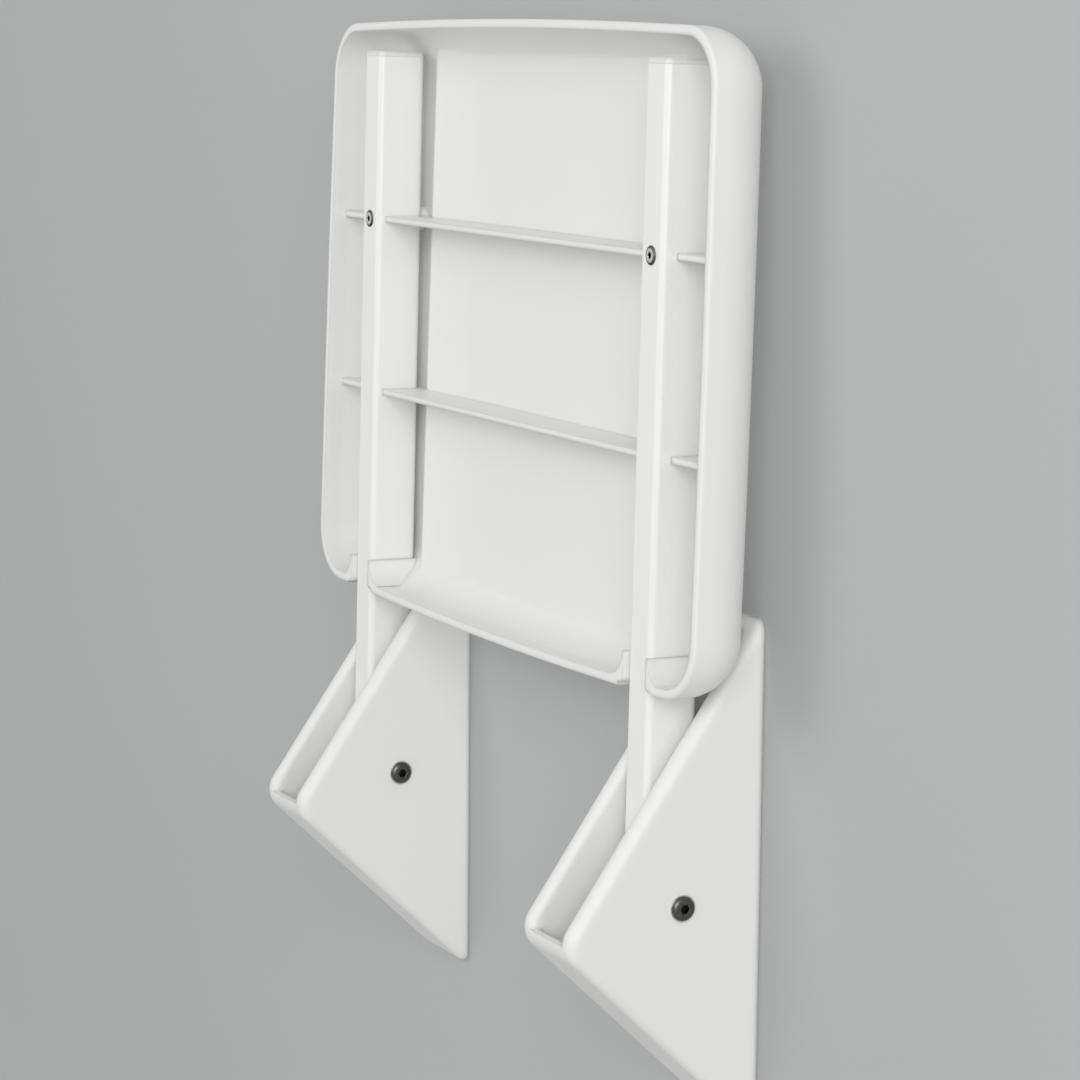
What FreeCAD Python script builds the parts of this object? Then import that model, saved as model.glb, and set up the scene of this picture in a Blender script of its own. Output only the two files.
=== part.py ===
import FreeCAD, Part
import math
import os
import Sketcher

# Fold down wall seat: a moulded pan on two tube arms that turn in two wall brackets.
# X runs along the wall, Y into the wall and Z up. The origin is on the wall, midway between the
# brackets and at the centre of their four wall holes. Sizes are in millimetres and degrees.

SIZES = {
    # Layout
    "bracket_spacing": 300.0,
    "hinge_out": 40.0,
    "hinge_drop": 60.0,
    "fold_lean": 1.1,
    "running_gap": 0.05,
    "seat_gap": 0.3,
    # Wall bracket, measured from the hinge
    "bracket_width": 48.0,
    "crest_rise": 128.0,
    "tip_out": 99.5,
    "tip_fall": 14.5,
    "heel_fall": 109.5,
    "cheek_wall": 10.0,
    "lower_wall": 4.0,
    "back_wall": 4.0,
    "tip_round": 12.0,
    "heel_round": 5.0,
    "edge_round": 4.6,
    "channel_round": 3.0,
    "lip_round": 3.0,
    "hub_size": 20.0,
    "hub_rise": 1.0,
    "stop_rise": 60.0,
    "stop_thick": 3.0,
    "fixing_low": 15.0,
    "fixing_pitch": 90.0,
    "fixing_bore": 5.5,
    "fixing_sink": 10.5,
    # Arm tube, measured from the hinge
    "arm_width": 20.0,
    "arm_deep": 25.0,
    "arm_wall": 1.8,
    "arm_corner": 3.0,
    "arm_foot": 12.5,
    "arm_reach": 371.0,
    "plug_cap": 2.5,
    "plug_bevel": 1.0,
    "plug_gap": 0.05,
    "top_plug_tall": 14.0,
    "foot_plug_tall": 4.0,
    # Pivot
    "axle_size": 10.0,
    "axle_bore": 6.2,
    "bush_size": 14.0,
    "bush_deep": 6.0,
    "flange_size": 18.0,
    "flange_gap": 0.25,
    "bolt_size": 6.0,
    "bolt_length": 50.0,
    "bolt_head": 11.2,
    "bolt_head_tall": 3.3,
    "bolt_hex": 4.0,
    "bolt_clear": 0.4,
    "washer_size": 12.4,
    "washer_thick": 1.0,
    "nut_across": 10.0,
    "nut_tall": 5.0,
    "nut_gap": 0.1,
    "nut_recess": 0.5,
    "thread_gap": 0.05,
    # Seat screw
    "screw_rise": 288.0,
    "screw_size": 5.0,
    "screw_length": 30.5,
    "screw_head": 9.7,
    "screw_head_tall": 2.8,
    "screw_hex": 3.0,
    "screw_clear": 0.3,
    "sleeve_size": 8.0,
    "insert_size": 7.0,
    "insert_length": 6.0,
    "boss_size": 13.0,
    # Seat pan, measured from the hinge along the arm
    "pan_proud": 0.5,
    "pan_deep": 33.8,
    "pan_wall": 4.2,
    "pan_floor": 3.5,
    "pan_lean": 0.67,
    "pan_level": 264.4,
    "front_corner_out": 199.8,
    "front_corner_up": 386.8,
    "rear_corner_out": 202.9,
    "rear_corner_up": 97.1,
    "side_bow": 9900.0,
    "front_bow": 6300.0,
    "rear_bow": 4640.0,
    "pan_corner_round": 27.0,
    "sitting_round": 25.5,
    "rim_round": 1.0,
    # Dish between the arms, and the ribs
    "dish_half": 132.0,
    "dish_rise": 5.0,
    "dish_round": 4.5,
    "dish_flat": 85.0,
    "dish_dip": 2.5,
    "dish_slope": 8.0,
    "rib_rise": 199.0,
    "rib_thick": 3.0,
    "rib_sink": 4.75,
    "outer_rib_sink": 7.75,
    "notch_gap": 0.5,
    "notch_wall": 1.0,
    "notch_bend": 12.0,
    "mouth_round": 3.0,
}

NAME = "Sizes"
V = FreeCAD.Vector
doc = FreeCAD.newDocument("FoldDownWallSeat")


class Size:
    """A value together with the expression that gives it from the spreadsheet."""

    def __init__(self, text, value):
        self.text = text
        self.value = value

    def __add__(self, other):
        other = as_size(other)
        return Size("(%s + %s)" % (self.text, other.text), self.value + other.value)

    def __sub__(self, other):
        other = as_size(other)
        return Size("(%s - %s)" % (self.text, other.text), self.value - other.value)

    def __mul__(self, other):
        other = as_size(other)
        return Size("%s * %s" % (self.text, other.text), self.value * other.value)

    def __truediv__(self, other):
        other = as_size(other)
        return Size("%s / (%s)" % (self.text, other.text), self.value / other.value)

    def __neg__(self):
        return Size("(-1 * %s)" % self.text, -self.value)


def as_size(value):
    if isinstance(value, Size):
        return value
    if value < 0:
        return Size("(%r)" % float(value), float(value))
    return Size("%r" % float(value), float(value))


def cosine(angle):
    return Size("cos(%s)" % angle.text, math.cos(math.radians(angle.value)))


def sine(angle):
    return Size("sin(%s)" % angle.text, math.sin(math.radians(angle.value)))


def root(size):
    return Size("sqrt(%s)" % size.text, math.sqrt(size.value))


class Sheet:
    """Gives each spreadsheet cell as a Size under its own name."""

    def __getattr__(self, name):
        return Size("%s.%s" % (NAME, name), SIZES[name])


def make_sheet():
    sheet = doc.addObject("Spreadsheet::Sheet", NAME)
    for row, (name, value) in enumerate(SIZES.items(), start=1):
        sheet.set("A%d" % row, name)
        sheet.set("B%d" % row, str(value))
        sheet.setAlias("B%d" % row, name)
    doc.recompute()


make_sheet()
s = Sheet()


# Helpers for sketches and features

def bind(item, prop, size):
    item.setExpression(prop, as_size(size).text)


def origin_plane(body, role):
    return [item for item in body.Origin.OriginFeatures if item.Role == role][0]


def new_body(label):
    body = doc.addObject("PartDesign::Body", "Body")
    body.Label = label
    return body


def new_sketch(body, role, offset=0.0):
    sketch = body.newObject("Sketcher::SketchObject", "Sketch")
    sketch.AttachmentSupport = (origin_plane(body, role), [""])
    sketch.MapMode = "FlatFace"
    offset = as_size(offset)
    sketch.AttachmentOffset = FreeCAD.Placement(V(0, 0, offset.value), FreeCAD.Rotation())
    bind(sketch, "AttachmentOffset.Base.z", offset)
    return sketch


def pin(sketch, edge, point, corner):
    for kind, size in (("DistanceX", corner[0]), ("DistanceY", corner[1])):
        size = as_size(size)
        number = sketch.addConstraint(Sketcher.Constraint(kind, -1, 1, edge, point, size.value))
        bind(sketch, "Constraints[%d]" % number, size)


def to_vector(corner):
    return V(as_size(corner[0]).value, as_size(corner[1]).value, 0)


def polygon(sketch, corners):
    first = sketch.GeometryCount
    count = len(corners)
    for index in range(count):
        start = to_vector(corners[index])
        end = to_vector(corners[(index + 1) % count])
        sketch.addGeometry(Part.LineSegment(start, end))
    for index in range(count):
        following = first + (index + 1) % count
        sketch.addConstraint(Sketcher.Constraint("Coincident", first + index, 2, following, 1))
        pin(sketch, first + index, 1, corners[index])


def rectangle(sketch, width, height, middle=(0.0, 0.0)):
    across = as_size(middle[0])
    up = as_size(middle[1])
    corners = []
    for side, rise in ((-0.5, -0.5), (0.5, -0.5), (0.5, 0.5), (-0.5, 0.5)):
        corners.append((across + width * side, up + height * rise))
    polygon(sketch, corners)


def circle(sketch, diameter, middle=(0.0, 0.0)):
    number = sketch.GeometryCount
    diameter = as_size(diameter)
    sketch.addGeometry(Part.Circle(to_vector(middle), V(0, 0, 1), diameter.value / 2))
    pin(sketch, number, 3, middle)
    rule = sketch.addConstraint(Sketcher.Constraint("Diameter", number, diameter.value))
    bind(sketch, "Constraints[%d]" % rule, diameter)


def hexagon(sketch, across):
    radius = across / root(as_size(3.0))
    corners = []
    for step in range(6):
        angle = math.radians(60.0 * step)
        corners.append((radius * math.cos(angle), radius * math.sin(angle)))
    polygon(sketch, corners)


def pad(body, sketch, length, side="One side", backwards=False):
    item = body.newObject("PartDesign::Pad", "Pad")
    item.Profile = sketch
    item.SideType = side
    item.Reversed = backwards
    bind(item, "Length", length)
    doc.recompute()
    return item


def pocket(body, sketch, length, side="One side", backwards=False):
    before = body.Shape.Volume
    item = body.newObject("PartDesign::Pocket", "Pocket")
    item.Profile = sketch
    item.SideType = side
    item.Reversed = backwards
    bind(item, "Length", length)
    doc.recompute()
    if body.Shape.Volume > before - 0.001:
        raise RuntimeError("a pocket in %s cuts nothing" % body.Label)
    return item


def edges_where(shape, test):
    return ["Edge%d" % (number + 1) for number, edge in enumerate(shape.Edges) if test(edge)]


def fillet(body, radius, test):
    names = edges_where(body.Shape, test)
    if not names:
        raise RuntimeError("no edge to round in %s" % body.Label)
    base = body.Tip
    item = body.newObject("PartDesign::Fillet", "Fillet")
    item.Base = (base, names)
    bind(item, "Radius", radius)
    doc.recompute()
    return item


def chamfer(body, size, test):
    names = edges_where(body.Shape, test)
    if not names:
        raise RuntimeError("no edge to bevel in %s" % body.Label)
    base = body.Tip
    item = body.newObject("PartDesign::Chamfer", "Chamfer")
    item.Base = (base, names)
    bind(item, "Size", size)
    doc.recompute()
    return item


def revolve(body, sketch):
    item = body.newObject("PartDesign::Revolution", "Revolution")
    item.Profile = sketch
    item.ReferenceAxis = (sketch, ["V_Axis"])
    item.Angle = 360.0
    doc.recompute()
    return item


def place(item, x, y, z, axis=V(1, 0, 0), angle=0.0):
    spots = [as_size(x), as_size(y), as_size(z)]
    angle = as_size(angle)
    base = V(spots[0].value, spots[1].value, spots[2].value)
    item.Placement = FreeCAD.Placement(base, FreeCAD.Rotation(axis, angle.value or 1.0))
    bind(item, "Placement.Rotation.Angle", angle)
    for name, spot in zip("xyz", spots):
        bind(item, "Placement.Base.%s" % name, spot)


def along(edge, direction):
    """True for a straight edge that runs along the given direction."""
    if not isinstance(edge.Curve, (Part.Line, Part.LineSegment)):
        return False
    ends = edge.Vertexes
    run = ends[1].Point.sub(ends[0].Point)
    return abs(abs(run.normalize().dot(direction)) - 1) < 1e-4


def middle_of(edge):
    return edge.valueAt((edge.FirstParameter + edge.LastParameter) / 2)


def beside(edge, across, up, reach=0.5):
    """True when an edge along X stands at the given place in Y and Z."""
    point = middle_of(edge)
    return abs(point.y - across) < reach and abs(point.z - up) < reach


def ring(label, outer, inner, length, role="YZ_Plane"):
    body = new_body(label)
    sketch = new_sketch(body, role)
    circle(sketch, outer)
    circle(sketch, inner)
    pad(body, sketch, length, "Symmetric")
    return body


SIDES = (("left", -1.0), ("right", 1.0))


def half_spacing(side):
    return s.bracket_spacing * (side * 0.5)


def put_at_hinge(item, side, shift=0.0):
    place(item, half_spacing(side) + shift, -s.hinge_out, -s.hinge_drop)


def put_on_arm(item, across, out, up, axis=V(1, 0, 0), turn=0.0):
    """Places a piece at a point given along and across the arm, which leans to the wall."""
    y = -s.hinge_out + out * cosine(s.fold_lean) + up * sine(s.fold_lean)
    z = -s.hinge_drop - out * sine(s.fold_lean) + up * cosine(s.fold_lean)
    place(item, across, y, z, axis, -s.fold_lean + turn)


# Wall bracket: a channel, triangular from the side and open along its upper slope

def wall_shift():
    """Height by which the lower slope moves when it is set in by its wall."""
    run = s.heel_fall - s.tip_fall
    return s.lower_wall * root(s.tip_out * s.tip_out + run * run) / s.tip_out


def bracket(label, side):
    body = new_body(label)
    # The outline runs past the wall plane and is then cut flush, so the wall edges stay sharp
    behind = s.edge_round * 2
    run = s.heel_fall - s.tip_fall
    past = s.heel_round * 0.2
    heel = s.heel_fall + past * run / s.tip_out
    outline = new_sketch(body, "YZ_Plane")
    polygon(outline, [
        (0.0, s.crest_rise), (-s.tip_out, -s.tip_fall), (past, -heel),
        (behind, behind * 2 - s.heel_fall), (behind, s.crest_rise)])
    pad(body, outline, s.bracket_width, "Symmetric")
    tip = SIZES["tip_out"]
    fall = SIZES["tip_fall"]
    fillet(body, s.tip_round, lambda edge: along(edge, V(1, 0, 0)) and beside(edge, -tip, -fall))
    crest = SIZES["crest_rise"]
    corners = ((0.0, crest), (past.value, -heel.value))
    fillet(body, s.heel_round, lambda edge: along(edge, V(1, 0, 0)) and
           any(beside(edge, across, up) for across, up in corners))
    half = SIZES["bracket_width"] / 2
    deep = SIZES["edge_round"] * 2 - 0.01
    fillet(body, s.edge_round,
           lambda edge: abs(abs(middle_of(edge).x) - half) < 0.01 and middle_of(edge).y < deep)
    flush = new_sketch(body, "YZ_Plane")
    rectangle(flush, behind * 2, s.crest_rise * 4, (behind, 0.0))
    pocket(body, flush, s.bracket_width * 2, "Symmetric")

    # The channel, whose floor is set in from the lower slope and turns up to a lip at the tip
    inner = s.bracket_width - s.cheek_wall * 2
    channel = new_sketch(body, "YZ_Plane")
    slope = run / s.tip_out
    lip = s.arm_deep / 2 + s.seat_gap
    lip_out = s.tip_out - s.lower_wall * 1.9
    floor_end = s.heel_fall - s.back_wall * slope - wall_shift()
    floor_start = s.heel_fall - lip_out * slope - wall_shift()
    polygon(channel, [
        (-s.back_wall, s.crest_rise * 2), (-s.back_wall, -floor_end),
        (-lip_out, -floor_start), (-lip_out, -lip),
        (-s.tip_out * 2, -lip), (-s.tip_out * 2, s.crest_rise * 2)])
    pocket(body, channel, inner, "Symmetric")
    side_at = as_size(inner).value / 2
    fall_line = V(0, SIZES["tip_out"], -as_size(run).value).normalize()
    fillet(body, s.channel_round, lambda edge: abs(abs(middle_of(edge).x) - side_at) < 0.01 and
           (along(edge, fall_line) or along(edge, V(0, 0, 1))) and middle_of(edge).y > -tip)
    rise_line = V(0, SIZES["tip_out"], SIZES["crest_rise"] + SIZES["tip_fall"]).normalize()
    fillet(body, s.lip_round, lambda edge: along(edge, rise_line) and
           abs(abs(middle_of(edge).x) - side_at) < 0.01)

    # Hubs that clamp the axle, then the stop behind the arm
    hub = new_sketch(body, "YZ_Plane", inner / 2 - s.hub_rise)
    circle(hub, s.hub_size, (-s.hinge_out, 0.0))
    hub_pad = pad(body, hub, s.hub_rise + s.cheek_wall / 2)
    mirror = body.newObject("PartDesign::Mirrored", "Mirrored")
    mirror.Originals = [hub_pad]
    mirror.MirrorPlane = (origin_plane(body, "YZ_Plane"), [""])
    body.Tip = mirror
    doc.recompute()
    arm_back = s.hinge_out - s.arm_deep / 2 - s.stop_rise * sine(s.fold_lean)
    stop = new_sketch(body, "YZ_Plane")
    stop_front = arm_back - s.seat_gap
    rectangle(stop, stop_front - s.back_wall / 2, s.stop_thick,
              (-(stop_front + s.back_wall / 2) / 2, s.stop_rise))
    pad(body, stop, inner + s.cheek_wall, "Symmetric")

    # Bolt hole, nut pocket and the two countersunk wall holes
    bore = new_sketch(body, "YZ_Plane")
    circle(bore, s.bolt_size + s.bolt_clear, (-s.hinge_out, 0.0))
    pocket(body, bore, s.bracket_width * 2, "Symmetric")
    nut = new_sketch(body, "YZ_Plane", -s.bracket_width / 2)
    radius = (s.nut_across + s.nut_gap * 2) / root(as_size(3.0))
    corners = []
    for step in range(6):
        angle = math.radians(60.0 * step)
        corners.append((radius * math.cos(angle) - s.hinge_out, radius * math.sin(angle)))
    polygon(nut, corners)
    pocket(body, nut, s.nut_tall + s.nut_recess, backwards=True)
    for up in (s.fixing_low, s.fixing_low + s.fixing_pitch):
        hole = new_sketch(body, "XZ_Plane")
        circle(hole, s.fixing_bore, (0.0, up))
        pocket(body, hole, s.back_wall * 2, "Symmetric")
    cone_deep = (s.fixing_sink - s.fixing_bore) / 2
    front = SIZES["back_wall"]
    wide = SIZES["fixing_bore"] / 2
    chamfer(body, cone_deep, lambda edge: is_circle(edge, wide) and abs(edge.Curve.Center.y + front) < 0.01)
    put_at_hinge(body, side)
    bind(body, "Placement.Base.y", 0.0)
    return body


def is_circle(edge, radius):
    return isinstance(edge.Curve, Part.Circle) and abs(edge.Curve.Radius - radius) < 0.01


# Arm tubes and their plugs

def arm(label, side):
    body = new_body(label)
    outline = new_sketch(body, "XY_Plane", -s.arm_foot)
    rectangle(outline, s.arm_width, s.arm_deep)
    pad(body, outline, s.arm_foot + s.arm_reach)
    fillet(body, s.arm_corner, lambda edge: along(edge, V(0, 0, 1)))
    hollow = new_sketch(body, "XY_Plane", -s.arm_foot)
    rectangle(hollow, s.arm_width - s.arm_wall * 2, s.arm_deep - s.arm_wall * 2)
    pocket(body, hollow, s.arm_foot + s.arm_reach, backwards=True)
    inside = SIZES["arm_width"] / 2 - SIZES["arm_wall"]
    fillet(body, s.arm_corner - s.arm_wall,
           lambda edge: along(edge, V(0, 0, 1)) and abs(abs(middle_of(edge).x) - inside) < 0.01)
    pivot = new_sketch(body, "YZ_Plane")
    circle(pivot, s.bush_size)
    pocket(body, pivot, s.arm_width * 2, "Symmetric")
    screw = new_sketch(body, "XZ_Plane")
    circle(screw, s.screw_size + s.screw_clear, (0.0, s.screw_rise))
    pocket(body, screw, s.arm_deep * 2, "Symmetric")
    put_on_arm(body, half_spacing(side), as_size(0.0), as_size(0.0))
    return body


def plug(label, side, at, spigot, up):
    """A plug whose cap closes the tube's end and whose spigot points into the tube."""
    body = new_body(label)
    cap = new_sketch(body, "XY_Plane")
    rectangle(cap, s.arm_width, s.arm_deep)
    pad(body, cap, s.plug_cap, backwards=not up)
    fillet(body, s.arm_corner, lambda edge: along(edge, V(0, 0, 1)))
    end = SIZES["plug_cap"] * (1 if up else -1)
    chamfer(body, s.plug_bevel, lambda edge: abs(middle_of(edge).z - end) < 0.01)
    stem = new_sketch(body, "XY_Plane")
    inset = (s.arm_wall + s.plug_gap) * 2
    rectangle(stem, s.arm_width - inset, s.arm_deep - inset)
    pad(body, stem, spigot, backwards=up)
    stem_side = as_size(s.arm_width - inset).value / 2
    fillet(body, s.arm_corner - s.arm_wall - s.plug_gap,
           lambda edge: along(edge, V(0, 0, 1)) and abs(abs(middle_of(edge).x) - stem_side) < 0.01)
    put_on_arm(body, half_spacing(side), as_size(0.0), at)
    return body


# Pivot pieces

def bush(label, side, hand):
    """A flanged bush: the spigot is in the arm's wall, the flange runs against the hub."""
    body = new_body(label)
    flange = s.bracket_width / 2 - s.cheek_wall - s.hub_rise - s.arm_width / 2 - s.flange_gap
    rim = new_sketch(body, "YZ_Plane", s.arm_width / 2)
    circle(rim, s.flange_size)
    pad(body, rim, flange)
    spigot = new_sketch(body, "YZ_Plane", s.arm_width / 2)
    circle(spigot, s.bush_size)
    pad(body, spigot, s.bush_deep, backwards=True)
    bore = new_sketch(body, "YZ_Plane")
    circle(bore, s.axle_size + s.running_gap * 2)
    pocket(body, bore, s.bracket_width * 2, "Symmetric")
    turn = 0.0 if hand > 0 else 180.0
    place(body, half_spacing(side), -s.hinge_out, -s.hinge_drop, V(0, 0, 1), turn)
    return body


def button_screw(label, size, length, head, head_tall, hexagonal):
    """A button head screw along Z, with the underside of its head at zero."""
    body = new_body(label)
    profile = new_sketch(body, "XZ_Plane")
    polygon(profile, [
        (0.0, head_tall), (head * 0.27, head_tall), (head * 0.44, head_tall * 0.6),
        (head * 0.5, head_tall * 0.2), (head * 0.5, 0.0), (size / 2, 0.0),
        (size / 2, -length + size * 0.1), (size * 0.4, -length), (0.0, -length)])
    revolve(body, profile)
    socket = new_sketch(body, "XY_Plane", head_tall)
    hexagon(socket, hexagonal)
    pocket(body, socket, head_tall * 0.6)
    return body


def nut(label, side):
    body = new_body(label)
    outline = new_sketch(body, "YZ_Plane")
    hexagon(outline, s.nut_across)
    pad(body, outline, s.nut_tall)
    bore = new_sketch(body, "YZ_Plane")
    circle(bore, s.bolt_size + s.thread_gap * 2)
    pocket(body, bore, s.nut_tall * 3, "Symmetric")
    at = s.nut_recess - s.bracket_width / 2
    place(body, half_spacing(side) + at, -s.hinge_out, -s.hinge_drop)
    return body


# Seat pan

def pan_outline(sketch, inset):
    """Four long arcs that bow outwards and meet at the pan's corners."""
    front = (s.front_corner_out - inset, s.front_corner_up - inset)
    rear = (s.rear_corner_out - inset, s.rear_corner_up + inset)
    corners = [(-rear[0], rear[1]), rear, front, (-front[0], front[1])]
    bows = [s.rear_bow - inset, s.side_bow - inset, s.front_bow - inset, s.side_bow - inset]
    for index in range(4):
        bow = bows[index]
        start = to_vector(corners[index])
        end = to_vector(corners[(index + 1) % 4])
        chord = end.sub(start)
        sagitta = bow.value - math.sqrt(bow.value ** 2 - (chord.Length / 2) ** 2)
        outward = V(chord.y, -chord.x, 0).normalize()
        crown = start.add(end).multiply(0.5).add(outward.multiply(sagitta))
        sketch.addGeometry(Part.Arc(start, crown, end))
    for index in range(4):
        following = (index + 1) % 4
        ends = arc_ends(sketch, index, corners[index])
        onward = arc_ends(sketch, following, corners[following])
        sketch.addConstraint(Sketcher.Constraint("Coincident", index, 3 - ends, following, onward))
        pin(sketch, index, ends, corners[index])
        rule = sketch.addConstraint(Sketcher.Constraint("Radius", index, bows[index].value))
        bind(sketch, "Constraints[%d]" % rule, bows[index])


def arc_ends(sketch, number, corner):
    """Which end of an arc, 1 or 2, lies at the given corner."""
    arc = sketch.Geometry[number]
    return 1 if arc.StartPoint.sub(to_vector(corner)).Length < 0.01 else 2


def pan_form(label, inset, deep, rim=None):
    """A tray form: its corners and its sitting edge are rounded."""
    body = new_body(label)
    face = s.arm_deep / 2 + s.pan_proud
    outline = new_sketch(body, "XZ_Plane", face)
    pan_outline(outline, inset)
    pad(body, outline, deep, backwards=True)
    spots = []
    for out, up in ((s.rear_corner_out - inset, s.rear_corner_up + inset),
                    (s.front_corner_out - inset, s.front_corner_up - inset)):
        spots.append((out.value, up.value))
    fillet(body, s.pan_corner_round - inset, lambda edge: any(crosses_at(edge, x, z) for x, z in spots))
    if rim is not None:
        front = -as_size(face).value
        fillet(body, rim, lambda edge: abs(middle_of(edge).y - front) < 0.01)
    bottom = as_size(deep).value - as_size(face).value
    fillet(body, s.sitting_round - inset, lambda edge: abs(middle_of(edge).y - bottom) < 0.01)
    lean_pan(body)
    return body


def lean_pan(item):
    """Turns a form of the pan about its level line, because the pan leans more than its arms."""
    rim_out = s.arm_deep / 2 + s.pan_proud
    y = rim_out * cosine(s.pan_lean) - rim_out - s.pan_level * sine(s.pan_lean)
    z = s.pan_level - rim_out * sine(s.pan_lean) - s.pan_level * cosine(s.pan_lean)
    place(item, as_size(0.0), y, z, V(1, 0, 0), -s.pan_lean)


def crosses_at(edge, x, z):
    """True for the sharp edge that crosses the tray's depth at a corner."""
    point = middle_of(edge)
    ends = edge.Vertexes
    deep = abs(ends[0].Point.y - ends[-1].Point.y)
    return deep > 5 and abs(abs(point.x) - x) < 2 and abs(point.z - z) < 2


def boolean(kind, label, base, tools):
    item = doc.addObject(kind, "Boolean")
    item.Label = label
    if kind == "Part::Cut":
        item.Base = base
        item.Tool = tools[0]
    else:
        item.Shapes = [base] + tools
    doc.recompute()
    return item


def floor_at(deep):
    """Y of a plane at a depth from the rim."""
    return deep - s.arm_deep / 2 - s.pan_proud


def dish_form(label, floor, half, wide, foot):
    """A prism over the whole pan that ends at the floor, which is raised between the arms."""
    body = new_body(label)
    sketch = new_sketch(body, "XY_Plane", s.rear_corner_up / 2)
    top = floor_at(floor)
    lift = floor_at(floor - s.dish_rise)
    flat = floor_at(floor - s.dish_rise + s.dish_dip)
    far = s.rear_corner_out * 1.5
    near = floor_at(-s.pan_deep)
    polygon(sketch, [
        (-far, near), (far, near), (far, top), (half, top), (half - wide, lift), (s.dish_flat, flat),
        (-s.dish_flat, flat), (wide - half, lift), (-half, top), (-far, top)])
    pad(body, sketch, s.front_corner_up)
    y_low = as_size(lift).value
    y_top = as_size(top).value
    x_low = as_size(half - wide).value
    x_top = as_size(half).value
    fillet(body, foot, lambda edge: along(edge, V(0, 0, 1)) and
           abs(abs(middle_of(edge).x) - x_low) < 0.01 and abs(middle_of(edge).y - y_low) < 0.01)
    if wide.value > 1:
        fillet(body, foot, lambda edge: along(edge, V(0, 0, 1)) and
               abs(abs(middle_of(edge).x) - x_top) < 0.01 and abs(middle_of(edge).y - y_top) < 0.01)
    lean_pan(body)
    return body


def rib(label, up):
    """One cross rib from side to side, cut down to a saddle behind each arm."""
    body = new_body(label)
    sketch = new_sketch(body, "XY_Plane", up - s.rib_thick / 2)
    centre = s.bracket_spacing / 2
    near = centre - s.arm_width / 2 - s.notch_gap
    beyond = centre + s.arm_width / 2 + s.notch_gap
    far = s.rear_corner_out * 1.2
    under = floor_at(s.pan_deep * 1.2)
    saddle = s.arm_deep / 2
    high = floor_at(s.rib_sink)
    low = floor_at(s.outer_rib_sink)
    polygon(sketch, [
        (-far, under), (far, under), (far, low), (beyond, low), (beyond, saddle), (near, saddle),
        (near, high), (-near, high), (-near, saddle), (-beyond, saddle), (-beyond, low), (-far, low)])
    pad(body, sketch, s.rib_thick)
    return body


def cheek(label, side):
    """The rear wall turns in along the arm on both sides of a notch, in a wide bend."""
    body = new_body(label)
    sketch = new_sketch(body, "XZ_Plane", s.arm_deep)
    half = s.arm_width / 2 + s.notch_gap + s.notch_wall + s.notch_bend
    low = s.rear_corner_up - s.pan_wall
    top = s.rear_corner_up + s.pan_wall / 2 + s.notch_bend
    rectangle(sketch, half * 2, top - low, (half_spacing(side), (top + low) / 2))
    pad(body, sketch, s.pan_deep * 2, backwards=True)
    bends = new_sketch(body, "XZ_Plane")
    for hand in (-1.0, 1.0):
        circle(bends, s.notch_bend * 2, (half_spacing(side) + half * hand, top))
    pocket(body, bends, s.pan_deep * 4, "Symmetric")
    return body


def boss(label, side):
    body = new_body(label)
    sketch = new_sketch(body, "XZ_Plane", -s.arm_deep / 2)
    circle(sketch, s.boss_size, (half_spacing(side), s.screw_rise))
    pad(body, sketch, s.pan_deep, backwards=True)
    return body


def notch(label, side):
    """Cuts the way for the arm through the rear wall, with rounded mouth corners."""
    body = new_body(label)
    sketch = new_sketch(body, "XZ_Plane", -(s.arm_deep / 2 + s.notch_gap))
    centre = half_spacing(side)
    inner = s.arm_width / 2 + s.notch_gap
    outer = inner + s.mouth_round * 1.5
    low = s.rear_corner_up / 2
    sag = (s.rear_corner_out * s.rear_corner_out - centre * centre) / (s.rear_bow * 2)
    mouth = s.rear_corner_up - sag + s.mouth_round / 2
    top = s.rear_corner_up + s.sitting_round * 1.2
    polygon(sketch, [
        (centre - outer, low), (centre + outer, low), (centre + outer, mouth), (centre + inner, mouth),
        (centre + inner, top), (centre - inner, top), (centre - inner, mouth), (centre - outer, mouth)])
    pad(body, sketch, s.pan_deep * 2)
    up = as_size(mouth).value
    x = as_size(centre).value
    reach = as_size(inner).value
    fillet(body, s.mouth_round, lambda edge: along(edge, V(0, 1, 0)) and
           abs(middle_of(edge).z - up) < 0.01 and abs(abs(middle_of(edge).x - x) - reach) < 0.01)
    return body


def seat_pan(label):
    outer = pan_form("Pan outer form", as_size(0.0), s.pan_deep, s.rim_round)
    sitting = dish_form("Sitting side", s.pan_deep, s.dish_half - 1.0, s.dish_slope, s.dish_round)
    shell = boolean("Part::MultiCommon", "Outer shell", outer, [sitting])
    hollow = pan_form("Pan hollow form", s.pan_wall, s.pan_deep - s.pan_floor)
    under = dish_form("Underside", s.pan_deep - s.pan_floor, s.dish_half, as_size(0.01), s.dish_round)
    cavity = boolean("Part::MultiCommon", "Cavity", hollow, [under])
    keep = [rib("Front rib", s.screw_rise), rib("Rear rib", s.rib_rise)]
    for name, side in SIDES:
        keep.append(cheek("Cheeks " + name, side))
        keep.append(boss("Boss " + name, side))
    solid = boolean("Part::MultiFuse", "Ribs and bosses", keep[0], keep[1:])
    space = boolean("Part::Cut", "Open space", cavity, [solid])
    tray = boolean("Part::Cut", "Ribbed tray", shell, [space])
    cuts = []
    for name, side in SIDES:
        cuts.append(notch("Notch " + name, side))
        cuts.append(insert_hole("Insert hole " + name, side))
    away = boolean("Part::MultiFuse", "Notches and holes", cuts[0], cuts[1:])
    pan = boolean("Part::Cut", label, tray, [away])
    put_on_arm(pan, as_size(0.0), as_size(0.0), as_size(0.0))
    return pan


def insert_hole(label, side):
    body = new_body(label)
    sketch = new_sketch(body, "XZ_Plane", -s.arm_deep / 2)
    circle(sketch, s.insert_size, (half_spacing(side), s.screw_rise))
    pad(body, sketch, s.insert_length + s.seat_gap, backwards=True)
    return body


# Assembly

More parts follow.
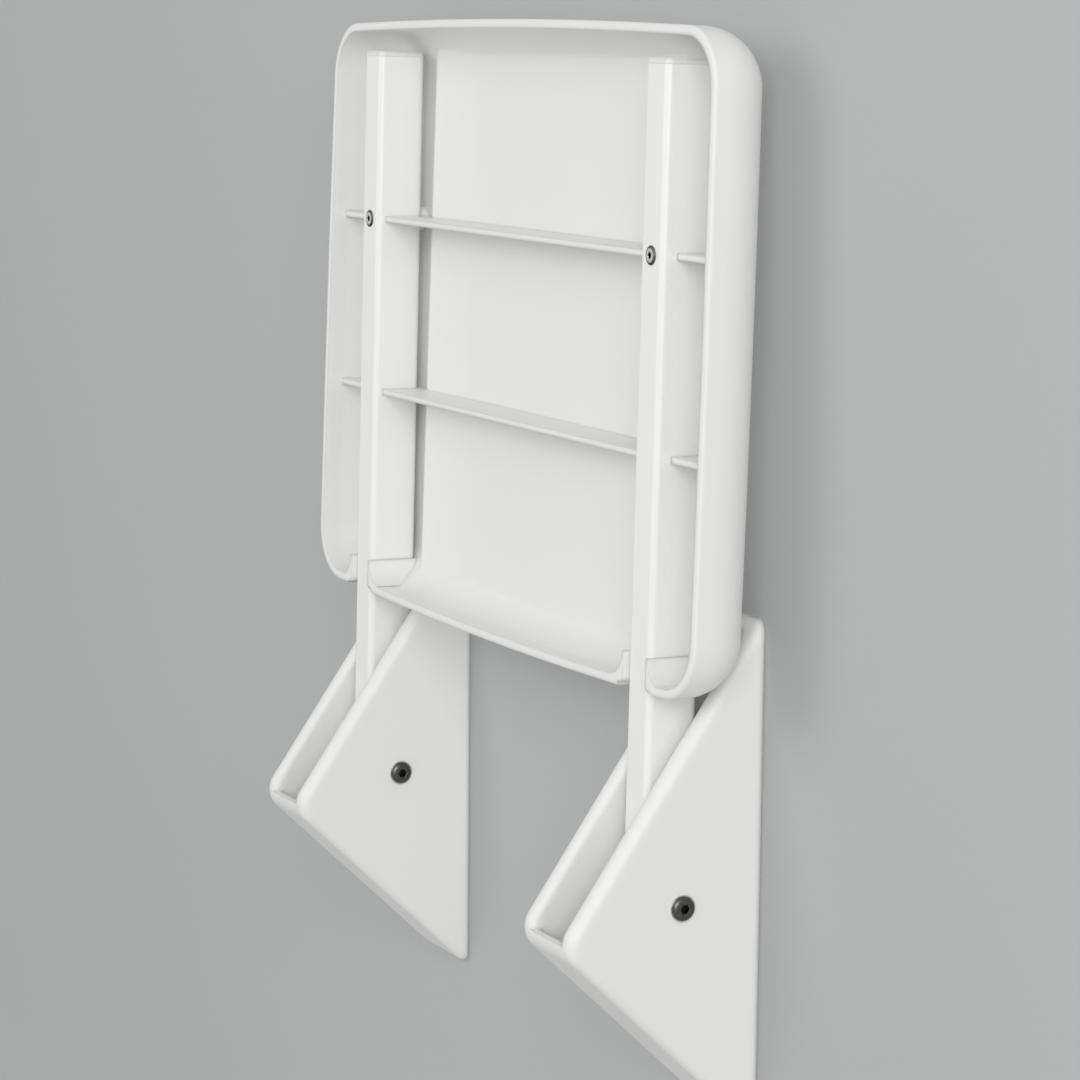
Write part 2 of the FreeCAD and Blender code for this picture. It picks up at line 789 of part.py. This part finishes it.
def build_all():
    pieces = [seat_pan("seat_pan")]
    for name, side in SIDES:
        pieces.append(bracket("bracket_" + name, side))
        pieces.append(arm("arm_" + name, side))
        pieces.append(plug("arm_top_plug_" + name, side, s.arm_reach, s.top_plug_tall, True))
        pieces.append(plug("arm_foot_plug_" + name, side, -s.arm_foot, s.foot_plug_tall, False))
        hub_face = s.bracket_width - s.cheek_wall * 2 - s.hub_rise * 2
        axle = ring("pivot_axle_" + name, s.axle_size, s.axle_bore, hub_face)
        put_at_hinge(axle, side)
        pieces.append(axle)
        pieces.append(bush("pivot_bush_outer_" + name, side, side))
        pieces.append(bush("pivot_bush_inner_" + name, side, -side))
        bolt = button_screw("pivot_bolt_" + name, s.bolt_size, s.bolt_length, s.bolt_head,
                            s.bolt_head_tall, s.bolt_hex)
        head_at = half_spacing(side) + s.bracket_width / 2 + s.washer_thick
        place(bolt, head_at, -s.hinge_out, -s.hinge_drop, V(0, 1, 0), 90.0)
        pieces.append(bolt)
        washer = ring("pivot_washer_" + name, s.washer_size, s.bolt_size + s.bolt_clear, s.washer_thick)
        put_at_hinge(washer, side, (s.bracket_width + s.washer_thick) / 2)
        pieces.append(washer)
        pieces.append(nut("pivot_nut_" + name, side))
        screw = button_screw("seat_screw_" + name, s.screw_size, s.screw_length, s.screw_head,
                             s.screw_head_tall, s.screw_hex)
        put_on_arm(screw, half_spacing(side), -s.arm_deep / 2, s.screw_rise, turn=90.0)
        pieces.append(screw)
        sleeve = ring("seat_screw_sleeve_" + name, s.sleeve_size, s.screw_size + s.screw_clear,
                      s.arm_deep - s.arm_wall * 2, "XZ_Plane")
        put_on_arm(sleeve, half_spacing(side), as_size(0.0), s.screw_rise)
        pieces.append(sleeve)
        insert = ring("seat_insert_" + name, s.insert_size, s.screw_size + s.thread_gap * 2,
                      s.insert_length, "XZ_Plane")
        put_on_arm(insert, half_spacing(side), (s.arm_deep + s.insert_length) / 2, s.screw_rise)
        pieces.append(insert)
    return pieces


def check(pieces):
    doc.recompute()
    for item in doc.Objects:
        if "Invalid" in item.State or "Error" in item.State:
            raise RuntimeError("%s did not build: %s" % (item.Label, item.State))
    for item in pieces:
        if item.Shape.isNull() or not item.Shape.isValid():
            raise RuntimeError("%s has no valid shape" % item.Label)
        if len(item.Shape.Solids) != 1:
            raise RuntimeError("%s has %d solids" % (item.Label, len(item.Shape.Solids)))


made = build_all()
check(made)
os.makedirs("parts", exist_ok=True)
for piece in made:
    piece.Shape.exportStep(os.path.join("parts", piece.Label + ".step"))
    box = piece.Shape.BoundBox
    print("%-26s %10.0f mm3  x %7.1f..%7.1f  y %7.1f..%7.1f  z %7.1f..%7.1f" % (
        piece.Label, piece.Shape.Volume, box.XMin, box.XMax, box.YMin, box.YMax, box.ZMin, box.ZMax))
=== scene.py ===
# %% [markdown]
# # Fold down wall seat
# This lesson dresses a white wall seat that hangs folded up between two wall brackets. The solid parts
# come in ready made, in metres, so the work here is materials, a few finely made pieces, light and a
# camera. The brackets are fixed, and the seat, its arms and all they carry turn on one hinge.

# %% Load the parts
import bpy
import bmesh
import math
from mathutils import Matrix, Vector


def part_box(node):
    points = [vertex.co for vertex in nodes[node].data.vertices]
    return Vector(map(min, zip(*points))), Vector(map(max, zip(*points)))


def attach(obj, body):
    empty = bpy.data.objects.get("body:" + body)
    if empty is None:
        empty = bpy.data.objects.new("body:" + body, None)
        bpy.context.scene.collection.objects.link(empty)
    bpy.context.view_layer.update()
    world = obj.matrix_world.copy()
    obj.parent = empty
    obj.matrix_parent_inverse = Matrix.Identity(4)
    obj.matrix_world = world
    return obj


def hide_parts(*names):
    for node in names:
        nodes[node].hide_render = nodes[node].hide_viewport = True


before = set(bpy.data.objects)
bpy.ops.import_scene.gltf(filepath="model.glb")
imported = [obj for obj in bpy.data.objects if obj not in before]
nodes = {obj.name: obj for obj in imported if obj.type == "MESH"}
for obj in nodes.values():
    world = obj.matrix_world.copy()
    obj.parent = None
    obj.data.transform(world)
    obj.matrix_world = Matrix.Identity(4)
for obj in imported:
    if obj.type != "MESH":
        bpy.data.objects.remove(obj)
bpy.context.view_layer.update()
print("pieces:", len(nodes))

# %% [markdown]
# ## A small language for shader maths
# A material is a net of nodes. Long formulas are hard to read as nodes, so a small class wraps a
# socket, and ordinary Python signs then add the Math nodes. The numbers may stand on either side of
# a sign, which the reflected forms are for.


# %% Shader maths
class Wire:
    """A node socket that can be used in a Python expression."""

    def __init__(self, shop, socket):
        self.shop = shop
        self.socket = socket

    def _math(self, operation, first, second):
        return self.shop.node("ShaderNodeMath", {"operation": operation}, {0: first, 1: second})

    def __add__(self, other):
        return self._math("ADD", self, other)

    def __mul__(self, other):
        return self._math("MULTIPLY", self, other)

    def __rsub__(self, other):
        return self._math("SUBTRACT", other, self)

    __radd__ = __add__
    __rmul__ = __mul__


# %% [markdown]
# ## A workshop for one material
# One method makes every node, from its type, its settings and what goes into its sockets. The
# others are the few nets that this object's finishes share: noise of a real size, a mix of two
# colours, and a bump on top of edges whose normals are turned as if they were rounded.

# %% Material workshop
OBJECT_COORDINATES = 3
BACKFACING = 6
MIX_COLOUR = 2
BEVEL_SAMPLES = 6


class Shop:
    """One material under construction."""

    def __init__(self, name):
        self.material = bpy.data.materials.new(name)
        self.material.use_nodes = True
        self.tree = self.material.node_tree
        self.shader = self.tree.nodes["Principled BSDF"]

    def node(self, kind, settings=None, values=None, output=0):
        made = self.tree.nodes.new(kind)
        for key, value in (settings or {}).items():
            setattr(made, key, value)
        for key, value in (values or {}).items():
            self.plug(made.inputs[key], value)
        return Wire(self, made.outputs[output])

    def plug(self, socket, value):
        if isinstance(value, Wire):
            self.tree.links.new(value.socket, socket)
        else:
            socket.default_value = value

    def noise(self, size, detail=2.0, rough=0.5):
        """Noise whose blobs are about one size, in metres, wide."""
        place = self.node("ShaderNodeTexCoord", output=OBJECT_COORDINATES)
        return self.node("ShaderNodeTexNoise", None, {
            "Vector": place, "Scale": 1 / size, "Detail": detail, "Roughness": rough})

    def ray(self, kind):
        return self.node("ShaderNodeLightPath", output=kind)

    def back_side(self):
        return self.node("ShaderNodeNewGeometry", output=BACKFACING)

    def blend(self, mask, low, high):
        """Mixes two colours, each given as red, green and blue."""
        return self.node("ShaderNodeMix", {"data_type": "RGBA"},
                         {0: mask, 6: (*low, 1), 7: (*high, 1)}, output=MIX_COLOUR)

    def bump(self, height, distance, strength, edge):
        """A bump on top of edges that are shaded as if rounded to the given radius."""
        soft = self.node("ShaderNodeBevel", {"samples": BEVEL_SAMPLES}, {"Radius": edge})
        return self.node("ShaderNodeBump", None, {
            "Height": height, "Distance": distance, "Strength": strength, "Normal": soft})

    def finish(self, **sockets):
        for key, value in sockets.items():
            self.plug(self.shader.inputs[key.replace("_", " ")], value)
        return self.material

    def veil(self, clear):
        """Lets light straight through the surface wherever clear is 1."""
        surface = Wire(self, self.shader.outputs["BSDF"])
        mixed = self.node("ShaderNodeMixShader", None, {
            0: clear, 1: surface, 2: self.node("ShaderNodeBsdfTransparent")})
        self.plug(self.tree.nodes["Material Output"].inputs["Surface"], mixed)


# %% [markdown]
# ## White moulded plastic
# The pan and the brackets are moulded in white plastic. It is smooth but not a mirror: a mould leaves
# a very fine grain, the colour drifts a little from place to place, and hands leave it slightly less
# glossy in patches. Three noises of different size give these, each one very weak. A mould's inner
# corners and rib tops are never sharp, so a Bevel node turns the normals there, which costs no mesh.
# The brackets have thicker walls and softer edges than the pan, so theirs is turned over more.

# %% White plastic
PLASTIC_GLOSS = 0.42
PLASTIC_DRIFT = 0.09
PLASTIC_PATCH = 0.022
PLASTIC_GRAIN = 0.0007


def white_plastic(name, colour, edge, gloss=PLASTIC_GLOSS, grain=0.00003):
    shop = Shop(name)
    red, green, blue = colour
    tint = shop.blend(shop.noise(PLASTIC_DRIFT, 3.0),
                      (red * 0.975, green * 0.975, blue * 0.965), colour)
    rough = shop.noise(PLASTIC_PATCH, 4.0, 0.6) * 0.10 + (gloss - 0.05)
    fine = shop.noise(PLASTIC_GRAIN)
    return shop.finish(Base_Color=tint, Roughness=rough, IOR=1.46,
                       Normal=shop.bump(fine, grain, 0.35, edge))


pan_white = white_plastic("pan white plastic", (0.80, 0.80, 0.795), 0.0027)
bracket_white = white_plastic("bracket white plastic", (0.79, 0.79, 0.785), 0.0045)
plug_white = white_plastic("plug white plastic", (0.76, 0.76, 0.75), 0.0006)
bush_white = white_plastic("bush natural plastic", (0.74, 0.74, 0.71), 0.0003, 0.45, 0.00002)
print("white plastics:", pan_white.name, bracket_white.name, plug_white.name, bush_white.name)

# %% [markdown]
# ## White coated tube
# The arms are aluminium under a baked white coat. A coat flows before it sets, so its surface has
# the soft waves that painters call orange peel, a millimetre or two across, under an even gloss.

# %% Coated tube
COAT_PEEL = 0.0016
COAT_DRIFT = 0.12
COAT_GLOSS = 0.26
COAT_EDGE = 0.0006


def coated_tube(name, colour):
    shop = Shop(name)
    red, green, blue = colour
    tint = shop.blend(shop.noise(COAT_DRIFT), (red * 0.98, green * 0.98, blue * 0.975), colour)
    peel = shop.noise(COAT_PEEL, 1.0)
    return shop.finish(Base_Color=tint, Roughness=COAT_GLOSS, IOR=1.5,
                       Normal=shop.bump(peel, 0.00004, 0.4, COAT_EDGE))


arm_white = coated_tube("arm white coat", (0.83, 0.83, 0.825))

# %% [markdown]
# ## Metals
# The screws are dark, chemically blackened steel that has worn a little brighter where a key has
# rubbed. On the small screws only a rim of it shows, and that dark rim is painted shade for the gap
# round the head. The sockets are painted near black: partly the black oxide a socket keeps, partly
# painted shade of the deep recess. Washers, nuts and sleeves are plain bright steel, as are the faces
# of the small screws, and the inserts are brass. A metal has no colour of its own beside its
# reflection, so one noise drives both its tone and its gloss.

# %% Metals
WEAR_SIZE = 0.0012
METAL_EDGE = 0.00015


def metal(name, dark, light, roughness):
    shop = Shop(name)
    wear = shop.noise(WEAR_SIZE, 5.0, 0.65)
    return shop.finish(Base_Color=shop.blend(wear, dark, light), Metallic=1.0,
                       Roughness=wear * 0.16 + (roughness - 0.08),
                       Normal=shop.bump(wear, 0.00002, 0.3, METAL_EDGE))


# Blackened steel. On the small screws it also makes the dark rim round the bright face, which is
# painted shade of the gap.
dark_steel = metal("blackened steel", (0.05, 0.05, 0.048), (0.21, 0.21, 0.20), 0.34)
bright_steel = metal("bright steel", (0.72, 0.72, 0.72), (0.88, 0.88, 0.87), 0.26)
# Painted shade: a near black, darker than the blackened steel, for the inside of each socket; a
# socket's real black oxide is part of it.
socket_shade_black = metal("socket painted shade", (0.015, 0.015, 0.015), (0.04, 0.04, 0.04), 0.50)
brass = metal("brass", (0.52, 0.38, 0.16), (0.68, 0.52, 0.26), 0.32)
print("metals:", dark_steel.name, bright_steel.name, socket_shade_black.name, brass.name)

# %% [markdown]
# ## Which piece gets which finish
# The pieces' names begin with what they are, so a short list of beginnings is enough. The first one
# that fits is taken, so a longer beginning stands before the shorter one that it holds.

# %% Give the finishes
FINISHES = (
    ("seat_pan", pan_white),
    ("bracket_", bracket_white),
    ("arm_top_plug", plug_white),
    ("arm_foot_plug", plug_white),
    ("arm_", arm_white),
    ("pivot_bush", bush_white),
    ("pivot_bolt", dark_steel),
    ("seat_screw_sleeve", bright_steel),
    ("seat_screw", dark_steel),
    ("seat_insert", brass),
    ("pivot_", bright_steel),
)


def finish_for(name):
    return next(material for start, material in FINISHES if name.startswith(start))


for name, thing in nodes.items():
    thing.data.materials.clear()
    thing.data.materials.append(finish_for(name))
print("finishes given to", len(nodes), "pieces")

# %% [markdown]
# ## Button head screws
# The dark screws are the only small things that catch the eye, so the plain turned solids are
# replaced. Half a section is drawn as a line of points, from the rim of the socket over the dome and
# down the threaded shank, and is later spun round the axis. The thread is shown as rings.

# %% Screw section
DOME_STEPS = 8
DOME_FOOT = 0.16
THREAD_DEEP = 0.5
THREAD_FLANK = 0.06
THREAD_CREST = 0.44


def line_of(shape, points):
    """Joins points, given as radius and height, into one line of edges."""
    corners = [shape.verts.new((radius, 0, height)) for radius, height in points]
    for pair in zip(corners, corners[1:]):
        shape.edges.new(pair)


def dome(radius, tall, rim):
    """Points from the socket's rim down the round of a button head to its underside."""
    points = []
    for step in range(DOME_STEPS + 1):
        turn = step / DOME_STEPS * math.pi / 2
        height = tall * (DOME_FOOT + (1 - DOME_FOOT) * math.cos(turn))
        points.append((rim + (radius - rim) * math.sin(turn), height))
    return points + [(radius * 0.985, 0.0)]


def thread(radius, start, end, pitch):
    """Points of a thread's section from one height down to another, and of the shank's tip."""
    points = [(radius, start)]
    for step in range(int((start - end) / pitch)):
        height = start - pitch * (step + 0.5)
        points.append((radius - pitch * THREAD_DEEP, height - pitch * THREAD_FLANK))
        points.append((radius, height - pitch * THREAD_CREST))
        points.append((radius, height - pitch * 0.5))
    return points + [(radius * 0.8, end), (0.0, end)]


# %% [markdown]
# ## From the section to a screw
# The socket is a hexagon whose sides are divided until it has as many corners as the spun rim. The
# two loops can then be bridged into the small cone that a real socket has, and the hexagon is drawn
# down to a flat floor. Edges stay sharp only where the two faces beside them turn by a wide angle.

# %% Spin and socket
SPIN_STEPS = 48
SOCKET_SIDES = 6
CONE_WIDE = 1.1
CONE_DEEP = 0.08
SHARP = math.radians(32)


def spun_screw(sizes):
    """The screw's outside, spun about Z with the underside of its head at zero, open at the rim."""
    shape = bmesh.new()
    shank = sizes["size"] / 2
    section = dome(sizes["head"] / 2, sizes["tall"], sizes["corner"] * CONE_WIDE) + [(shank, 0.0)]
    line_of(shape, section + thread(shank, -sizes["grip"], -sizes["length"], sizes["pitch"]))
    bmesh.ops.spin(shape, geom=shape.verts[:] + shape.edges[:], cent=(0, 0, 0), axis=(0, 0, 1),
                   angle=2 * math.pi, steps=SPIN_STEPS, use_merge=True)
    bmesh.ops.remove_doubles(shape, verts=shape.verts[:], dist=1e-6)
    return shape


def sink_socket(shape, sizes):
    """Closes the open rim with a hexagonal socket."""
    rim = [edge for edge in shape.edges if edge.is_boundary]
    hexagon = bmesh.ops.create_circle(shape, segments=SOCKET_SIDES, radius=sizes["corner"])["verts"]
    mouth = sizes["tall"] - sizes["corner"] * CONE_DEEP
    bmesh.ops.translate(shape, verts=hexagon, vec=(0, 0, mouth))
    bmesh.ops.subdivide_edges(shape, edges=[edge for edge in shape.edges if edge.is_wire],
                              cuts=SPIN_STEPS // SOCKET_SIDES - 1)
    loop = [edge for edge in shape.edges if edge.is_wire]
    bmesh.ops.bridge_loops(shape, edges=rim + loop)
    wall = bmesh.ops.extrude_edge_only(shape, edges=loop)["geom"]
    low = [item for item in wall if isinstance(item, bmesh.types.BMVert)]
    bmesh.ops.translate(shape, verts=low, vec=(0, 0, -sizes["depth"]))
    floor = [item for item in wall if isinstance(item, bmesh.types.BMEdge) and item.is_boundary]
    bmesh.ops.edgeloop_fill(shape, edges=floor)
    bmesh.ops.recalc_face_normals(shape, faces=shape.faces[:])


# %% [markdown]
# ## Three material slots on one screw
# The small screws show a bright face inside a dark edge. That dark edge is painted shade for the gap
# round the head, and every socket is painted near black, partly its black oxide and partly painted
# shade of the recess. Each face of the mesh is given one of three material slots by how far its
# middle is from the screw's axis.

# %% Finish the heads
# The first slot's dark rim on the small screws and the last slot's near black socket are painted
# shade.
DARK_STEEL_AND_RIM_SHADE, BRIGHT, SOCKET_SHADE = range(3)


def finish_head(shape, sizes):
    mouth = sizes["tall"] - sizes["corner"] * CONE_DEEP
    for face in shape.faces:
        face.smooth = True
        place = face.calc_center_median()
        away = place.xy.length
        # Faces left on the first slot keep the piece's own steel; on the small screws that dark rim is
        # painted shade.
        if place.z > 0 and sizes["corner"] < away < sizes["bright"]:
            face.material_index = BRIGHT
        # The socket's faces get the near black slot: painted shade of the recess, with some real black
        # oxide.
        if -sizes["depth"] < place.z < mouth and away < sizes["corner"]:
            face.material_index = SOCKET_SHADE
    for edge in shape.edges:
        edge.smooth = not edge.is_manifold or edge.calc_face_angle(0) < SHARP


# %% [markdown]
# ## Laying the screws in place
# A screw is made along Z and then laid where its solid is, with its place in its mesh. A pivot bolt
# points along X. A seat screw goes square into the arm, which leans back with the folded seat.

# %% Place a screw
LEAN = math.radians(1.1)
HINGE_OUT = 0.040
HINGE_DROP = 0.060
ARM_FRONT = 0.0125
SCREW_RISE = 0.288
BOLT_HEAD_TALL = 0.0033


def arm_point(out, rise):
    """Y and Z of a point that is out from the arm's axis and up from the hinge, along the arm."""
    return (-HINGE_OUT - out * math.cos(LEAN) + rise * math.sin(LEAN),
            -HINGE_DROP + out * math.sin(LEAN) + rise * math.cos(LEAN))


def screw_piece(shape, name, node, body):
    low, high = (Vector(corner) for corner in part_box(node))
    middle = (low + high) / 2
    if body == "seat":
        turn = Matrix.Rotation(math.pi / 2 - LEAN, 4, "X")
        head = Vector((middle.x, *arm_point(ARM_FRONT, SCREW_RISE)))
    else:
        turn = Matrix.Rotation(math.pi / 2, 4, "Y")
        head = Vector((high.x - BOLT_HEAD_TALL, middle.y, middle.z))
    bmesh.ops.transform(shape, matrix=Matrix.Translation(head) @ turn, verts=shape.verts[:])
    mesh = bpy.data.meshes.new(name)
    shape.to_mesh(mesh)
    shape.free()
    # The slots: the piece's own steel, which on a small screw's rim is painted shade, then bright
    # steel, then the socket's painted shade black.
    for material in (finish_for(node), bright_steel, socket_shade_black):
        mesh.materials.append(material)
    piece = bpy.data.objects.new(name, mesh)
    bpy.context.scene.collection.objects.link(piece)
    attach(piece, body)
    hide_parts(node)
    return piece


# %% [markdown]
# ## Two sorts of screw
# The pivots are held by long bolts with a low dark dome. The seat is held to the arms by shorter
# screws whose heads are nearly flat, which the narrow ovals in the picture show. Their sizes are
# in metres: the shank, its plain and threaded lengths, the head and the key's socket.

# %% Make the screws
PIVOT_BOLT = {"size": 0.006, "length": 0.050, "grip": 0.032, "pitch": 0.001, "head": 0.0112,
              "tall": 0.0020, "corner": 0.004 / math.sqrt(3), "depth": 0.0026, "bright": 0.0}
SEAT_SCREW = {"size": 0.005, "length": 0.0305, "grip": 0.0246, "pitch": 0.0008, "head": 0.0088,
              "tall": 0.0008, "corner": 0.0025 / math.sqrt(3), "depth": 0.0016, "bright": 0.0030}


def make_screw(name, node, body, sizes):
    shape = spun_screw(sizes)
    sink_socket(shape, sizes)
    finish_head(shape, sizes)
    piece = screw_piece(shape, name, node, body)
    print(name, "faces", len(piece.data.polygons))


for side in ("left", "right"):
    make_screw("bolt_" + side, "pivot_bolt_" + side, "wall_brackets", PIVOT_BOLT)
    make_screw("screw_" + side, "seat_screw_" + side, "seat", SEAT_SCREW)

# %% [markdown]
# ## Floor and backdrop
# The seat hangs on a wall, so the stage is one pale sheet: a wall right behind the brackets that
# turns in a wide curve into a floor. A profile is spun and extruded, and its faces are turned to
# the room.

# %% Sheet
WALL_GAP = 0.0008
WALL_TOP = 2.2
FLOOR = -0.75
FLOOR_END = -4.0
BEND = 0.35
BEND_STEPS = 24
SHEET_WIDE = 8.0
ROOM_MIDDLE = Vector((0, -2, 1))


def sheet_mesh():
    shape = bmesh.new()
    turn = shape.verts.new((0, WALL_GAP, FLOOR + BEND))
    shape.edges.new((shape.verts.new((0, WALL_GAP, WALL_TOP)), turn))
    bmesh.ops.spin(shape, geom=[turn], cent=(0, WALL_GAP - BEND, FLOOR + BEND), axis=(1, 0, 0),
                   angle=-math.pi / 2, steps=BEND_STEPS)
    last = min(shape.verts, key=lambda vert: (vert.co.z, vert.co.y))
    end = bmesh.ops.extrude_vert_indiv(shape, verts=[last])["verts"][0]
    end.co = Vector((0, FLOOR_END, FLOOR))
    run = bmesh.ops.extrude_edge_only(shape, edges=shape.edges[:])
    moved = [item for item in run["geom"] if isinstance(item, bmesh.types.BMVert)]
    bmesh.ops.translate(shape, verts=moved, vec=(SHEET_WIDE, 0, 0))
    bmesh.ops.translate(shape, verts=shape.verts[:], vec=(-SHEET_WIDE / 2, 0, 0))
    shape.normal_update()
    away = [face for face in shape.faces
            if face.normal.dot(ROOM_MIDDLE - face.calc_center_median()) < 0]
    bmesh.ops.reverse_faces(shape, faces=away)
    for face in shape.faces:
        face.smooth = True
    mesh = bpy.data.meshes.new("backdrop")
    shape.to_mesh(mesh)
    shape.free()
    return mesh


# %% [markdown]
# ## Paper for the sheet
# It is a little darker than the seat, so that white still stands out. Only its front can be seen,
# and only by the camera and in reflections: the room's light passes through it, so the sides of the
# seat aren't in its shade, and the back of the seat can be looked at from behind the wall.

# %% Paper
PAPER_LOW = (0.43, 0.44, 0.445)
PAPER_HIGH = (0.46, 0.47, 0.475)
PAPER_CLOUDS = 0.6
SEEN_BY = ("Is Camera Ray", "Is Glossy Ray", "Is Transmission Ray")


def paper():
    shop = Shop("backdrop paper")
    shop.finish(Base_Color=shop.blend(shop.noise(PAPER_CLOUDS), PAPER_LOW, PAPER_HIGH), Roughness=0.9)
    seen = sum(shop.ray(kind) for kind in SEEN_BY)
    shop.veil(1 - seen * (1 - shop.back_side()))
    return shop.material


sheet = bpy.data.objects.new("backdrop", sheet_mesh())
sheet.data.materials.append(paper())
bpy.context.scene.collection.objects.link(sheet)
print("backdrop faces:", len(sheet.data.polygons))

# %% [markdown]
# ## Light
# The photograph is lit very evenly: the sides that face the camera are about as light as the front.
# So most of the light is an even pale world. One broad lamp stands on the camera's side, and a
# second one in front and a little above keeps the rib tops and the rear wall bright.

# %% Lamps
SEAT_MIDDLE = (0, 0, 0.08)
LAMP_SIZE = 2.0
ROOM_COLOUR = (0.985, 0.99, 0.98, 1)
ROOM_STRENGTH = 0.60


def lamp(name, place, power):
    light = bpy.data.lights.new(name, "AREA")
    light.shape = "DISK"
    light.size = LAMP_SIZE
    light.energy = power
    holder = bpy.data.objects.new(name, light)
    holder.location = place
    aim = Vector(SEAT_MIDDLE) - Vector(place)
    holder.rotation_euler = aim.to_track_quat("-Z", "Y").to_euler()
    bpy.context.scene.collection.objects.link(holder)
    print(name, "stands", round(aim.length, 2), "m away")


lamp("key", (2.6, -1.6, 1.0), 46)
lamp("fill", (-0.9, -3.0, 1.2), 21)
world = bpy.data.worlds.new("room")
world.use_nodes = True
room = world.node_tree.nodes["Background"]
room.inputs["Color"].default_value = ROOM_COLOUR
room.inputs["Strength"].default_value = ROOM_STRENGTH
bpy.context.scene.world = world
bpy.context.scene.view_settings.view_transform = "Standard"

# %% [markdown]
# ## Camera
# The camera stands right of the seat and looks along the wall, turned 63 degrees to the left and 9
# degrees down. Its place was worked out from the brackets' straight edges and the wall's lines. Its
# matrix is built from the three directions that it calls right, up and back.

# %% Camera
CAMERA_AT = (1.4159, -0.7475, 0.3248)
YAW = 1.0981
PITCH = 0.1528
ROLL = 0.0087
SENSOR = 36
FOCAL_PIXELS = 3309
FRAME_PIXELS = 1080

across = Vector((math.cos(YAW), math.sin(YAW), 0))
level = Vector((-math.sin(YAW), math.cos(YAW), 0))
up = Vector((0, 0, 1))
ahead = math.cos(PITCH) * level - math.sin(PITCH) * up
over = math.cos(PITCH) * up + math.sin(PITCH) * level
right = math.cos(ROLL) * across + math.sin(ROLL) * over
over = math.cos(ROLL) * over - math.sin(ROLL) * across

lens = bpy.data.cameras.new("camera")
lens.sensor_width = SENSOR
lens.lens = SENSOR * FOCAL_PIXELS / FRAME_PIXELS
lens.clip_end = 50
camera = bpy.data.objects.new("camera", lens)
turn = Matrix((right, over, -ahead)).transposed().to_4x4()
camera.matrix_world = Matrix.Translation(CAMERA_AT) @ turn
bpy.context.scene.collection.objects.link(camera)
bpy.context.scene.camera = camera
print("lens:", round(lens.lens, 1), "mm")
